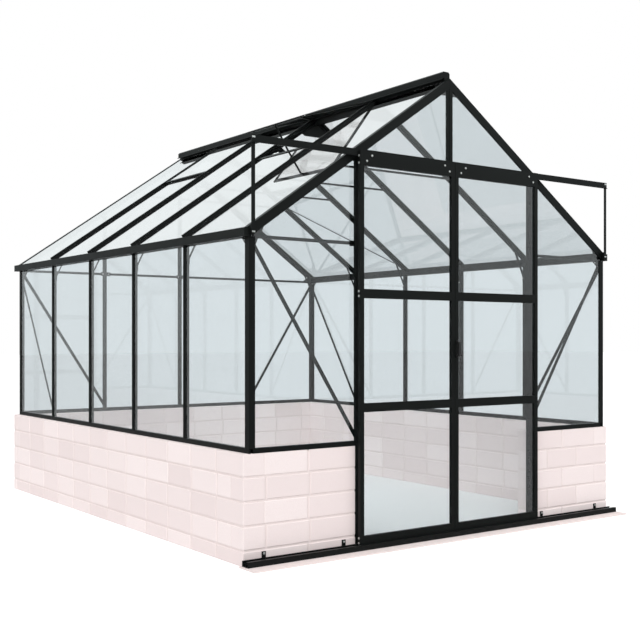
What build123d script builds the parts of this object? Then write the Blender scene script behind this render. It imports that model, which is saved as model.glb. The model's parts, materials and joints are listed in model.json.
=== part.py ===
"""Black aluminium greenhouse on a low masonry wall.

Toughened glass sits in extruded glazing bars: five bays long, four bays wide,
with a pitched roof, a gutter along each eave, three roof vents and a pair of
sliding door leaves hung from a track that runs past both corners of the gable.

Axes: X across the house, Y from the door gable to the rear gable, Z up from
the ground. The origin is the middle of the footprint. Millimetres throughout.
"""

import os
from math import atan2, cos, radians, sin, tan

from build123d import *

os.makedirs("parts", exist_ok=True)

# ---------------------------------------------------------------- house sizes
bay_pitch = 598
side_bays = 5
end_bar_inset = 22
frame_half_width = 1258
apex_height = 2435
eave_height = 1570
wall_height = 519
wall_thickness = 115
wall_side_reach = 30
wall_rear_reach = 25

# sill strip that carries the lower door track
sill_reach = 131
sill_half_length = 1310
sill_height = 8

# ---------------------------------------------------------- extrusion profile
bar_cap = 27
jamb_cap = 35
centre_cap = 40
bar_depth = 27
cap_thickness = 3
flange_thickness = 3
web_thickness = 6
stem_thickness = 3
tail_width = 16
rib_width = 8
rib_height = 2
rafter_rib_height = 13
glass_thickness = 4
glass_clearance = 3
verge_leg = 45
verge_lip = 30
post_leg = 35
post_lip = 34

# base rail, gutter and ridge
base_rail_height = 24
groove_depth = 8
gutter_height = 50
gutter_reach = 30
gutter_wall = 3
gutter_lip = 9
gutter_rim_drop = 9
gutter_front_run = 8
gutter_rear_run = 20
glass_drip = 8
ridge_stem_half = 12
ridge_rise = 41
ridge_crown_half = 18
ridge_body_half = 26
ridge_lip_half = 34
ridge_lip_rise = 19
ridge_lip_thickness = 4
ridge_wall = 3

# roof vents, hinged at the ridge: side of the house, bay and angle of opening
vent_opening = 18
vents = ((-1, 2, vent_opening), (-1, 4, 0), (1, 4, 0))
vent_reach = 530
vent_rail = 20
vent_thickness = 8
vent_side_gap = 5
vent_groove = 6
stay_width = 10
stay_thickness = 5
stay_arm = 135
stay_lean = 38
stay_bracket = 24

# ties, braces and gussets
tie_rise = 4
tie_depth = 16
cleat_size = 27
collar_drop = 405
collar_depth = 10
brace_width = 20
brace_thickness = 3
brace_end_gap = 12
roof_brace_width = 9
roof_brace_bay = 4
knee_foot = 27
knee_drop = 99
knee_reach = 73
gusset_half = 110
gusset_nose = 20
gusset_depth = 12
apex_plate_drop = 93
apex_joint = 0.5
plate_drop = 86
plate_foot = 29
plate_arm = 73
plate_waist = 51
plate_waist_rise = 17
plate_reach = 76
side_plate_leg = 69

# ------------------------------------------------------------------ door sizes
opening_centre = 620
leaf_half_gap = 1.5
leaf_outer = 637
leaf_front = 41
leaf_depth = 20
leaf_plate = 3
stile_width = 24
rail_slot = 8
leaf_bottom = 28
bottom_rail_top = 74
lower_rail_bottom = 686
lower_rail_top = 730
upper_rail_bottom = 1250
upper_rail_top = 1296
top_rail_bottom = 1906
leaf_top = 1985

track_low = 1952
track_high = 1987
track_front = 27
track_wall = 3
track_lip = 6
track_headroom = 7
roller_radius = 12
roller_width = 8
roller_gap = 0.3
roller_inset = 70
axle_radius = 3
support_width = 20

header_bottom = 1925
header_top = 1990

guide_top = 35
guide_front = 63
guide_back = 10
guide_wall = 3
guide_half_length = 1300
glide_width = 8
glide_length = 40
glide_clearance = 5
glide_lift = 3
fixing_width = 22
fixing_height = 27
fixing_inset = 81
fixing_offset = 91

handle_low = 950
handle_high = 1040
handle_width = 14
handle_stand = 22
handle_grip = 6
handle_foot = 12

# ------------------------------------------------------------- derived places
frame_length = side_bays * bay_pitch + 2 * end_bar_inset
overall_length = sill_reach + frame_length + wall_rear_reach
front = sill_reach - overall_length / 2
rear = front + frame_length
middle = (front + rear) / 2
pitch = atan2(apex_height - eave_height, frame_half_width)
base_top = wall_height + base_rail_height
eave_bottom = eave_height - gutter_height
wall_face = frame_half_width + wall_side_reach
glass_in = cap_thickness + glass_thickness
flange_in = glass_in + flange_thickness
eave_block = frame_half_width - flange_in
groove_floor = base_top - groove_depth
bar_back = frame_half_width - bar_depth
stem_half = stem_thickness / 2
ridge_top = apex_height + ridge_rise
collar_height = apex_height - collar_drop
bar_rows = [front + end_bar_inset + bay_pitch * i for i in range(1, side_bays)]
middle_plane = Plane.XZ.offset(-middle)


def roof_height(x, depth=0.0):
    """Height of the roof's outer plane at x, or of a plane that lies depth under it."""
    return apex_height - abs(x) * tan(pitch) - depth / cos(pitch)


def slope_point(run, rise):
    """X and Z of a point run down the slope from the apex and rise above its plane."""
    return (run * cos(pitch) + rise * sin(pitch), apex_height - run * sin(pitch) + rise * cos(pitch))


ridge_stem_bottom = roof_height(centre_cap / 2, bar_depth)
slope_end = (frame_half_width + glass_drip) / cos(pitch)


def outline(plane, points):
    """A face on the plane, bounded by the points."""
    with BuildSketch(plane) as face:
        with BuildLine():
            Polyline(points, close=True)
        make_face()
    return face.sketch


def across(points, low, high):
    """Settings for a solid with its X, Z outline swept from Y low to Y high."""
    return {"to_extrude": outline(Plane.XZ.offset(-high), points), "amount": high - low}


def along(points, low, high):
    """Settings for a solid with its Y, Z outline swept from X low to X high."""
    return {"to_extrude": outline(Plane.YZ.offset(low), points), "amount": high - low}


def upward(points, low, high):
    """Settings for a solid with its X, Y outline swept from Z low to Z high."""
    return {"to_extrude": outline(Plane.XY.offset(low), points), "amount": high - low}


def rectangle(a, b, c, d):
    """Corners of a rectangle from a, b to c, d."""
    return [(a, b), (c, b), (c, d), (a, d)]


def bar_plane(origin, direction, outward):
    """Plane for a glazing bar: local x across it, local y outward, local z along it."""
    return Plane(origin=origin, x_dir=Vector(outward).cross(Vector(direction)), z_dir=direction)


def bar_section(plane, cap=bar_cap, rib=rib_height):
    """Glazing bar: ribbed cap, two glass rebates, inner flange, stem and bolt tail."""
    half = [
        (rib_width / 2, rib),
        (rib_width / 2, 0),
        (cap / 2, 0),
        (cap / 2, -cap_thickness),
        (web_thickness / 2, -cap_thickness),
        (web_thickness / 2, -glass_in),
        (cap / 2, -glass_in),
        (cap / 2, -flange_in),
        (stem_thickness / 2, -flange_in),
        (stem_thickness / 2, flange_thickness - bar_depth),
        (tail_width / 2, flange_thickness - bar_depth),
        (tail_width / 2, -bar_depth),
    ]
    return outline(plane, half + [(-x, y) for x, y in reversed(half)])


def edge_section(plane, lip, leg):
    """Corner bar: one leg on each face, with a glass rebate behind each leg."""
    wall = 2 * flange_thickness
    tail_end = wall + flange_in
    points = [
        (0, 0),
        (lip, 0),
        (lip, -cap_thickness),
        (wall, -cap_thickness),
        (wall, -glass_in),
        (bar_depth, -glass_in),
        (bar_depth, -flange_in),
        (wall, -flange_in),
        (wall, flange_thickness - bar_depth),
        (tail_end, flange_thickness - bar_depth),
        (tail_end, -bar_depth),
        (flange_in, -bar_depth),
        (flange_in, -leg),
        (glass_in, -leg),
        (glass_in, -bar_depth),
        (cap_thickness, -bar_depth),
        (cap_thickness, -leg),
        (0, -leg),
    ]
    return outline(plane, points)


def strip(start, end, width):
    """Corners of a straight strip of the width from start to end."""
    line = Vector(*end) - Vector(*start)
    side = Vector(-line.Y, line.X).normalized() * (width / 2)
    ends = [Vector(*start) + side, Vector(*end) + side, Vector(*end) - side, Vector(*start) - side]
    return [(p.X, p.Y) for p in ends]


# ------------------------------------------------------------------- masonry
wall_inner = wall_face - wall_thickness
wall_rear_face = rear + wall_rear_reach
opening_edge = opening_centre + jamb_cap / 2

with BuildPart() as side_walls:
    extrude(**upward(rectangle(wall_inner, front, wall_face, wall_rear_face), 0, wall_height))
    mirror(about=Plane.YZ)
side_walls.part.label = "side_walls"
export_step(side_walls.part, "parts/side_walls.step")

with BuildPart() as gable_walls:
    rear_inner = wall_rear_face - wall_thickness
    extrude(**upward(rectangle(opening_edge, front, wall_inner, front + wall_thickness), 0, wall_height))
    mirror(about=Plane.YZ)
    extrude(**upward(rectangle(-wall_inner, rear_inner, wall_inner, wall_rear_face), 0, wall_height))
gable_walls.part.label = "gable_walls"
export_step(gable_walls.part, "parts/gable_walls.step")

with BuildPart() as door_sill:
    step = rectangle(-sill_half_length, front - sill_reach, sill_half_length, front)
    extrude(**upward(step, 0, sill_height))
    threshold = rectangle(-opening_edge, front, opening_edge, front + wall_thickness)
    extrude(**upward(threshold, 0, sill_height))
door_sill.part.label = "door_sill"
export_step(door_sill.part, "parts/door_sill.step")

# ----------------------------------------------------------------- base rails
rail_points = [
    (0, wall_height),
    (0, base_top),
    (cap_thickness, base_top),
    (cap_thickness, groove_floor),
    (glass_in, groove_floor),
    (glass_in, base_top),
    (bar_depth, base_top),
    (bar_depth, wall_height),
    (bar_depth - flange_thickness, wall_height),
    (bar_depth - flange_thickness, base_top - flange_thickness),
    (flange_in, base_top - flange_thickness),
    (flange_in, wall_height),
]

with BuildPart() as base_rails_side:
    extrude(**across([(frame_half_width - d, z) for d, z in rail_points], front, rear))
    mirror(about=Plane.YZ)
base_rails_side.part.label = "base_rails_side"
export_step(base_rails_side.part, "parts/base_rails_side.step")

with BuildPart() as base_rails_gable:
    extrude(**along([(front + d, z) for d, z in rail_points], opening_edge, bar_back))
    mirror(about=Plane.YZ)
    extrude(**along([(rear - d, z) for d, z in rail_points], -bar_back, bar_back))
base_rails_gable.part.label = "base_rails_gable"
export_step(base_rails_gable.part, "parts/base_rails_gable.step")

# ------------------------------------------------------------ corner and side bars
post_height = eave_bottom - base_top

with BuildPart() as corner_posts:
    corner = Plane(origin=(frame_half_width, front, eave_bottom), x_dir=(0, 1, 0), z_dir=(0, 0, -1))
    extrude(edge_section(corner, post_lip, post_leg), amount=post_height)
    mirror(about=middle_plane)
    mirror(about=Plane.YZ)
corner_posts.part.label = "corner_posts"
export_step(corner_posts.part, "parts/corner_posts.step")

with BuildPart() as side_bars:
    for row in bar_rows:
        foot = bar_plane((frame_half_width, row, base_top), (0, 0, 1), (1, 0, 0))
        extrude(bar_section(foot), amount=post_height)
    mirror(about=Plane.YZ)
side_bars.part.label = "side_bars"
export_step(side_bars.part, "parts/side_bars.step")

# -------------------------------------------------------------------- gutters
gutter_face = frame_half_width + gutter_reach
glass_face = frame_half_width - cap_thickness
glass_back = frame_half_width - glass_in
gutter_rim = eave_height - gutter_rim_drop
gutter_points = [
    (bar_back, eave_bottom),
    (glass_back, eave_bottom),
    (glass_back, eave_bottom + groove_depth),
    (glass_face, eave_bottom + groove_depth),
    (glass_face, eave_bottom),
    (gutter_face, eave_bottom),
    (gutter_face, gutter_rim),
    (gutter_face - gutter_lip, gutter_rim),
    (gutter_face - gutter_lip, gutter_rim - gutter_wall),
    (gutter_face - gutter_wall, gutter_rim - gutter_wall),
    (gutter_face - gutter_wall, eave_bottom + gutter_wall),
    (frame_half_width, eave_bottom + gutter_wall),
    (frame_half_width, roof_height(frame_half_width, glass_in)),
    (eave_block, roof_height(eave_block, glass_in)),
    (eave_block, eave_bottom + gutter_wall),
    (bar_back, eave_bottom + gutter_wall),
]
gutter_start = front - gutter_front_run
gutter_end = rear + gutter_rear_run

with BuildPart() as gutters:
    extrude(**across(gutter_points, gutter_start, gutter_end))
    stop = rectangle(frame_half_width, eave_bottom, gutter_face, gutter_rim)
    extrude(**across(stop, gutter_start, gutter_start + gutter_wall))
    extrude(**across(stop, gutter_end - gutter_wall, gutter_end))
    mirror(about=Plane.YZ)
gutters.part.label = "gutters"
export_step(gutters.part, "parts/gutters.step")

# ---------------------------------------------------------------------- ridge
lip_low = roof_height(ridge_lip_half) + ridge_lip_rise
lip_root = roof_height(ridge_body_half) + ridge_lip_rise + ridge_lip_thickness
crown_low = ridge_top - (ridge_body_half - ridge_crown_half)
ridge_shelf = roof_height(ridge_stem_half) + ridge_lip_rise + ridge_wall
ridge_outer = [
    (ridge_stem_half, ridge_stem_bottom),
    (ridge_stem_half, roof_height(ridge_stem_half) + ridge_lip_rise),
    (ridge_lip_half, lip_low),
    (ridge_lip_half, lip_low + ridge_lip_thickness),
    (ridge_body_half, lip_root),
    (ridge_body_half, crown_low),
    (ridge_crown_half, ridge_top),
]
ridge_inner = [
    (ridge_stem_half - ridge_wall, ridge_stem_bottom),
    (ridge_stem_half - ridge_wall, ridge_shelf),
    (ridge_body_half - ridge_wall, ridge_shelf),
    (ridge_body_half - ridge_wall, crown_low - ridge_wall),
    (ridge_crown_half - ridge_wall, ridge_top - ridge_wall),
]

with BuildPart() as ridge_beam:
    ridge_front = front + verge_lip
    ridge_rear = rear - verge_lip
    extrude(**across(ridge_outer + [(-x, z) for x, z in reversed(ridge_outer)], ridge_front, ridge_rear))
    hollow = ridge_inner + [(-x, z) for x, z in reversed(ridge_inner)]
    extrude(**across(hollow, ridge_front + ridge_wall, ridge_rear - ridge_wall), mode=Mode.SUBTRACT)
ridge_beam.part.label = "ridge_beam"
export_step(ridge_beam.part, "parts/ridge_beam.step")

# -------------------------------------------------------------------- rafters
eave_seat = [
    (eave_block, roof_height(eave_block, glass_in)),
    (2 * frame_half_width, roof_height(2 * frame_half_width, glass_in)),
    (2 * frame_half_width, 0),
    (eave_block, 0),
]
ridge_seat = rectangle(-2 * frame_half_width, 0, ridge_stem_half, 2 * apex_height)
apex_seat = rectangle(-2 * frame_half_width, 0, apex_joint, 2 * apex_height)
down_slope = (cos(pitch), 0, -sin(pitch))
off_slope = (sin(pitch), 0, cos(pitch))

with BuildPart() as rafters:
    for row in bar_rows:
        top = bar_plane((0, row, apex_height), down_slope, off_slope)
        extrude(bar_section(top, rib=rafter_rib_height), amount=slope_end)
    extrude(**across(eave_seat, front, rear), mode=Mode.SUBTRACT)
    extrude(**across(ridge_seat, front, rear), mode=Mode.SUBTRACT)
    mirror(about=Plane.YZ)
rafters.part.label = "rafters"
export_step(rafters.part, "parts/rafters.step")

with BuildPart() as gable_rafters:
    verge = Plane(origin=(0, front, apex_height), x_dir=(0, 1, 0), z_dir=down_slope)
    extrude(edge_section(verge, verge_lip, verge_leg), amount=slope_end)
    extrude(**across(eave_seat, front, rear), mode=Mode.SUBTRACT)
    extrude(**across(apex_seat, front, rear), mode=Mode.SUBTRACT)
    mirror(about=Plane.YZ)
    mirror(about=middle_plane)
gable_rafters.part.label = "gable_rafters"
export_step(gable_rafters.part, "parts/gable_rafters.step")

# ----------------------------------------------------------------- gable bars
over_gable = [
    (-2 * frame_half_width, roof_height(2 * frame_half_width, verge_leg)),
    (0, roof_height(0, verge_leg)),
    (2 * frame_half_width, roof_height(2 * frame_half_width, verge_leg)),
    (2 * frame_half_width, 2 * apex_height),
    (-2 * frame_half_width, 2 * apex_height),
]
outward_front = (0, -1, 0)

with BuildPart() as door_header:
    header_points = [
        (0, header_bottom),
        (0, header_top),
        (cap_thickness, header_top),
        (cap_thickness, header_top - groove_depth),
        (glass_in, header_top - groove_depth),
        (glass_in, header_top),
        (flange_in, header_top),
        (flange_in, header_bottom + flange_thickness),
        (bar_depth, header_bottom + flange_thickness),
        (bar_depth, header_bottom),
    ]
    header_half = opening_centre - jamb_cap / 2
    extrude(**along([(front + d, z) for d, z in header_points], -header_half, header_half))
    extrude(**across(over_gable, front, front + bar_depth), mode=Mode.SUBTRACT)
door_header.part.label = "door_header"
export_step(door_header.part, "parts/door_header.step")

with BuildPart() as door_jambs:
    jamb = bar_plane((opening_centre, front, sill_height), (0, 0, 1), outward_front)
    extrude(bar_section(jamb, jamb_cap), amount=apex_height - sill_height)
    extrude(**across(over_gable, front - rib_height, front + bar_depth), mode=Mode.SUBTRACT)
    mirror(about=Plane.YZ)
door_jambs.part.label = "door_jambs"
export_step(door_jambs.part, "parts/door_jambs.step")

with BuildPart() as gable_centre_bar:
    centre = bar_plane((0, front, header_top), (0, 0, 1), outward_front)
    extrude(bar_section(centre, centre_cap), amount=apex_height - header_top)
    extrude(**across(over_gable, front - rib_height, front + bar_depth), mode=Mode.SUBTRACT)
gable_centre_bar.part.label = "gable_centre_bar"
export_step(gable_centre_bar.part, "parts/gable_centre_bar.step")

with BuildPart() as rear_gable_bars:
    for place in (-opening_centre, 0, opening_centre):
        foot = bar_plane((place, rear, base_top), (0, 0, 1), (0, 1, 0))
        extrude(bar_section(foot), amount=apex_height - base_top)
    extrude(**across(over_gable, rear - bar_depth, rear + rib_height), mode=Mode.SUBTRACT)
rear_gable_bars.part.label = "rear_gable_bars"
export_step(rear_gable_bars.part, "parts/rear_gable_bars.step")

# ------------------------------------------------------- ties, braces and plates
tie_low = eave_bottom + tie_rise - tie_depth / 2
tie_high = tie_low + tie_depth
plate_back = flange_in + brace_thickness
cleat_low = tie_low - (cleat_size - tie_depth) / 2


def tie_points(face_at, inward):
    """Channel behind a gable's glass, open to the inside of the house."""
    near = face_at + inward * plate_back
    web = near + inward * stem_thickness
    far = face_at + inward * (bar_depth - flange_thickness)
    return [
        (near, tie_low),
        (near, tie_high),
        (far, tie_high),
        (far, tie_high - stem_thickness),
        (web, tie_high - stem_thickness),
        (web, tie_low + stem_thickness),
        (far, tie_low + stem_thickness),
        (far, tie_low),
    ]


def cleat_points(face_at, inward):
    """Plate on the back of a tie, where the tie meets an upright."""
    near = face_at + inward * (bar_depth - flange_thickness)
    return rectangle(near, cleat_low, face_at + inward * bar_depth, cleat_low + cleat_size)


with BuildPart() as gable_ties:
    for face_at, inward in ((front, 1), (rear, -1)):
        extrude(**along(tie_points(face_at, inward), opening_centre + stem_half, bar_back))
        cleat = opening_centre + tail_width / 2
        extrude(**along(cleat_points(face_at, inward), cleat, cleat + cleat_size))
    extrude(**along(tie_points(rear, -1), stem_half, opening_centre - stem_half))
    for cleat in (tail_width / 2, opening_centre - tail_width / 2 - cleat_size):
        extrude(**along(cleat_points(rear, -1), cleat, cleat + cleat_size))
    mirror(about=Plane.YZ)
gable_ties.part.label = "gable_ties"
export_step(gable_ties.part, "parts/gable_ties.step")

with BuildPart() as corner_plates:
    reach = bar_back - plate_reach
    gable_plate = [
        (bar_back, tie_high - plate_drop),
        (bar_back - plate_foot, tie_low),
        (bar_back - plate_arm, tie_low),
        (bar_back - plate_arm, tie_high),
        (bar_back - plate_waist, tie_high + plate_waist_rise),
        (reach, roof_height(reach, bar_depth)),
        (bar_back, roof_height(bar_back, bar_depth)),
    ]
    extrude(**across(gable_plate, front + flange_in, front + plate_back))
    post_side = front + 2 * flange_thickness
    side_plate = [
        (post_side, eave_bottom),
        (post_side + side_plate_leg, eave_bottom),
        (post_side, eave_bottom - side_plate_leg),
    ]
    extrude(**along(side_plate, frame_half_width - plate_back, frame_half_width - flange_in))
    mirror(about=middle_plane)
    mirror(about=Plane.YZ)
corner_plates.part.label = "corner_plates"
export_step(corner_plates.part, "parts/corner_plates.step")

brace_top = tie_low - brace_width
brace_foot = base_top + brace_end_gap
brace_back = plate_back + brace_thickness

with BuildPart() as side_braces:
    foot_end = bar_rows[0] - stem_half
    brace = strip((post_side, brace_top), (foot_end, brace_foot), brace_width)
    skin = (frame_half_width - brace_back, frame_half_width - plate_back)
    extrude(**along(brace, *skin))
    extrude(**along(rectangle(post_side, base_top, foot_end, eave_bottom), *skin), mode=Mode.INTERSECT)
    mirror(about=middle_plane)
    mirror(about=Plane.YZ)
side_braces.part.label = "side_braces"
export_step(side_braces.part, "parts/side_braces.step")

with BuildPart() as gable_braces:
    foot_end = opening_centre + stem_half
    brace = strip((bar_back, brace_top), (foot_end, brace_foot), brace_width)
    skin = (front + plate_back, front + brace_back)
    extrude(**across(brace, *skin))
    extrude(**across(rectangle(foot_end, base_top, bar_back, tie_low), *skin), mode=Mode.INTERSECT)
    mirror(about=middle_plane)
    mirror(about=Plane.YZ)
gable_braces.part.label = "gable_braces"
export_step(gable_braces.part, "parts/gable_braces.step")


def under_rafters(low, high):
    """Level strip between two heights, with ends that follow the rafters' backs."""
    corners = []
    for level in (low, high):
        half = (roof_height(0, bar_depth) - level) / tan(pitch)
        corners.append((half, level))
    return corners + [(-x, z) for x, z in reversed(corners)]


with BuildPart() as collar_ties:
    collar_low = collar_height - collar_depth / 2
    for row in bar_rows:
        edge = row - tail_width / 2
        web = under_rafters(collar_low, collar_low + collar_depth)
        extrude(**across(web, edge, edge + stem_thickness))
        flange = under_rafters(collar_low, collar_low + stem_thickness)
        extrude(**across(flange, edge, edge + tail_width))
collar_ties.part.label = "collar_ties"
export_step(collar_ties.part, "parts/collar_ties.step")

with BuildPart() as roof_braces:
    under_slope = Plane(origin=(0, 0, apex_height), x_dir=down_slope, z_dir=off_slope)
    upper_row = bar_rows[roof_brace_bay - 1] - stem_half
    lower_row = bar_rows[roof_brace_bay - 2] + stem_half
    collar_end = under_rafters(collar_height, collar_height + collar_depth)[0][0] / cos(pitch)
    eave_end = eave_block / cos(pitch) - brace_width
    brace = strip((collar_end, upper_row), (eave_end, lower_row), roof_brace_width)
    extrude(outline(under_slope.offset(-plate_back), brace), amount=brace_thickness)
    between = rectangle(0, lower_row, 2 * eave_end, upper_row)
    extrude(outline(under_slope.offset(-plate_back), between), amount=brace_thickness, mode=Mode.INTERSECT)
    mirror(about=Plane.YZ)
roof_braces.part.label = "roof_braces"
export_step(roof_braces.part, "parts/roof_braces.step")


def knee_points():
    """Cranked strap from the back of a side bar to the back of its rafter."""
    knee_z = roof_height(bar_back, bar_depth) - knee_drop
    run = (bar_back - knee_reach) / cos(pitch) + bar_depth * tan(pitch)
    seat = [
        Vector(bar_back, knee_z - knee_foot),
        Vector(bar_back, knee_z),
        Vector(*slope_point(run, -bar_depth)),
        Vector(*slope_point(run - knee_foot, -bar_depth)),
    ]
    steps = [(b - a).normalized() for a, b in zip(seat, seat[1:])]
    left = [Vector(-s.Y, s.X) * brace_thickness for s in steps]
    inner = [seat[0] + left[0]]
    for corner_at, before, after in zip(seat[1:3], left, left[1:]):
        bisector = before + after
        inner.append(corner_at + bisector * (2 * brace_thickness**2 / bisector.length**2))
    inner.append(seat[3] + left[2])
    return [(p.X, p.Y) for p in seat + inner[::-1]]


with BuildPart() as knee_braces:
    for row in bar_rows:
        extrude(**across(knee_points(), row - tail_width / 2, row + tail_width / 2))
    mirror(about=Plane.YZ)
knee_braces.part.label = "knee_braces"
export_step(knee_braces.part, "parts/knee_braces.step")

with BuildPart() as apex_gussets:
    under = roof_height(gusset_half, bar_depth)
    gusset = [
        (ridge_stem_half, ridge_stem_bottom),
        (ridge_stem_half, roof_height(ridge_stem_half, bar_depth)),
        (gusset_half, under),
        (gusset_half - gusset_nose, under - gusset_depth),
    ]
    for row in bar_rows:
        low = row - brace_thickness / 2
        extrude(**across(gusset + [(-x, z) for x, z in reversed(gusset)], low, low + brace_thickness))
    plate_low = apex_height - apex_plate_drop
    plate = [
        (stem_half, plate_low),
        (stem_half, roof_height(stem_half, bar_depth)),
        ((roof_height(0, bar_depth) - plate_low) / tan(pitch), plate_low),
    ]
    for side in (-1, 1):
        half_plate = [(side * x, z) for x, z in plate]
        extrude(**across(half_plate, front + flange_in, front + plate_back))
        extrude(**across(half_plate, rear - plate_back, rear - flange_in))
apex_gussets.part.label = "apex_gussets"
export_step(apex_gussets.part, "parts/apex_gussets.step")

# ----------------------------------------------------------------- side glass
pane_inset = web_thickness / 2 + glass_clearance
edge_inset = 2 * flange_thickness + glass_clearance
pane_ends = [front + edge_inset] + bar_rows + [rear - edge_inset]
pane_spans = []
for low, high in zip(pane_ends, pane_ends[1:]):
    first = low if low == pane_ends[0] else low + pane_inset
    last = high if high == pane_ends[-1] else high - pane_inset
    pane_spans.append((first, last))

with BuildPart() as side_glass:
    for low, high in pane_spans:
        pane = rectangle(glass_back, low, glass_face, high)
        extrude(**upward(pane, groove_floor, eave_bottom + groove_depth))
    mirror(about=Plane.YZ)
side_glass.part.label = "side_glass"
export_step(side_glass.part, "parts/side_glass.step")

# ----------------------------------------------------------------- roof glass
vent_sill_low = vent_reach + vent_rail / 2


def roof_pane(start, stop_run):
    """Slab of glass down the slope, between two distances from the apex."""
    return [
        slope_point(start, -cap_thickness),
        slope_point(stop_run, -cap_thickness),
        slope_point(stop_run, -glass_in),
        slope_point(start, -glass_in),
    ]


stem_start = ridge_stem_half / cos(pitch) + glass_in * tan(pitch)


def pane_start(side, bay):
    """Distance of a pane's upper edge from the apex, under a vent or under the ridge."""
    vented = [(vent_side, vent_bay) for vent_side, vent_bay, swing in vents]
    return vent_sill_low + glass_clearance if (side, bay) in vented else stem_start


with BuildPart() as roof_glass:
    for side in (-1, 1):
        for bay, (low, high) in enumerate(pane_spans, 1):
            pane = roof_pane(pane_start(side, bay), slope_end)
            extrude(**across([(side * x, z) for x, z in pane], low, high))
roof_glass.part.label = "roof_glass"
export_step(roof_glass.part, "parts/roof_glass.step")

# ---------------------------------------------------------------- gable glass
edge_pane = bar_back - glass_clearance
rake = bar_depth + glass_clearance


def raked(inner, outer, floor):
    """Pane with a level foot and a top edge that follows the rafter."""
    return [(inner, floor), (outer, floor)] + [(x, roof_height(x, rake)) for x in (outer, inner)]


with BuildPart() as gable_glass_front:
    span = (front + cap_thickness, front + glass_in)
    beside = opening_centre + pane_inset
    extrude(**across(raked(beside, edge_pane, groove_floor), *span))
    over_door = header_top - groove_depth
    over_reach = (apex_height - rake / cos(pitch) - header_top - groove_depth) / tan(pitch)
    extrude(**across(raked(pane_inset, over_reach, over_door), *span))
    mirror(about=Plane.YZ)
gable_glass_front.part.label = "gable_glass_front"
export_step(gable_glass_front.part, "parts/gable_glass_front.step")

with BuildPart() as gable_glass_rear:
    span = (rear - glass_in, rear - cap_thickness)
    near = opening_centre - pane_inset
    extrude(**across(raked(beside, edge_pane, groove_floor), *span))
    extrude(**across(raked(pane_inset, near, groove_floor), *span))
    mirror(about=Plane.YZ)
gable_glass_rear.part.label = "gable_glass_rear"
export_step(gable_glass_rear.part, "parts/gable_glass_rear.step")

# ---------------------------------------------------------------- roof vents
vent_start = ridge_stem_half / cos(pitch)
vent_end = vent_reach + vent_rail / 2
vent_inner = vent_rail - vent_groove
pane_low = (vent_thickness - glass_thickness) / 2
pane_high = pane_low + glass_thickness
sill_start = vent_reach - vent_rail / 2
sill_stop = vent_sill_low + groove_depth
sill_inset = bar_cap / 2 - vent_side_gap


def vent_span(bay):
    """Y limits of the vent over a bay."""
    centre_low = front + end_bar_inset + bay_pitch * (bay - 1)
    return (centre_low + vent_side_gap, centre_low + bay_pitch - vent_side_gap)


def vent_point(side, swing, run, rise):
    """X and Z of a point on a vent that swings up from the ridge by some degrees."""
    hinge = Vector(*slope_point(vent_start, 0))
    lean = pitch - radians(swing)
    down = Vector(cos(lean), -sin(lean)) * (run - vent_start)
    up = Vector(sin(lean), cos(lean)) * rise
    place = hinge + down + up
    return (side * place.X, place.Y)


def vent_box(side, swing, runs, rises):
    """Outline of a slab along a vent, between two runs and two rises."""
    corners = rectangle(runs[0], rises[0], runs[1], rises[1])
    return [vent_point(side, swing, run, rise) for run, rise in corners]


body_rises = (0, vent_thickness)
glass_runs = (vent_start + vent_inner, vent_end - vent_inner)
glass_rises = (pane_low, pane_high)

with BuildPart() as vent_side_rails:
    for side, bay, swing in vents:
        low, high = vent_span(bay)
        rail = vent_box(side, swing, (vent_start + vent_rail, vent_end - vent_rail), body_rises)
        extrude(**across(rail, low, low + vent_rail))
        extrude(**across(rail, high - vent_rail, high))
        groove = vent_box(side, swing, glass_runs, glass_rises)
        extrude(**across(groove, low + vent_inner, high - vent_inner), mode=Mode.SUBTRACT)
vent_side_rails.part.label = "vent_side_rails"
export_step(vent_side_rails.part, "parts/vent_side_rails.step")

with BuildPart() as vent_end_rails:
    for side, bay, swing in vents:
        low, high = vent_span(bay)
        for runs in ((vent_start, vent_start + vent_rail), (vent_end - vent_rail, vent_end)):
            extrude(**across(vent_box(side, swing, runs, body_rises), low, high))
        groove = vent_box(side, swing, glass_runs, glass_rises)
        extrude(**across(groove, low + vent_inner, high - vent_inner), mode=Mode.SUBTRACT)
vent_end_rails.part.label = "vent_end_rails"
export_step(vent_end_rails.part, "parts/vent_end_rails.step")

with BuildPart() as vent_glass:
    for side, bay, swing in vents:
        low, high = vent_span(bay)
        pane = vent_box(side, swing, glass_runs, glass_rises)
        extrude(**across(pane, low + vent_inner, high - vent_inner))
vent_glass.part.label = "vent_glass"
export_step(vent_glass.part, "parts/vent_glass.step")

vent_sill_section = [
    (sill_start, 0),
    (sill_stop, 0),
    (sill_stop, -cap_thickness),
    (vent_sill_low, -cap_thickness),
    (vent_sill_low, -glass_in),
    (sill_stop, -glass_in),
    (sill_stop, -flange_in),
    (sill_start, -flange_in),
]

with BuildPart() as vent_sills:
    for side, bay, swing in vents:
        low, high = vent_span(bay)
        sill = [vent_point(side, 0, run, rise) for run, rise in vent_sill_section]
        extrude(**across(sill, low + sill_inset, high - sill_inset))
vent_sills.part.label = "vent_sills"
export_step(vent_sills.part, "parts/vent_sills.step")

# stay: bracket under the sill, arm into the house, link to the rail of an open vent
pivot_run = sill_start - stay_width
pivot_rise = -plate_back - stay_width / 2

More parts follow.
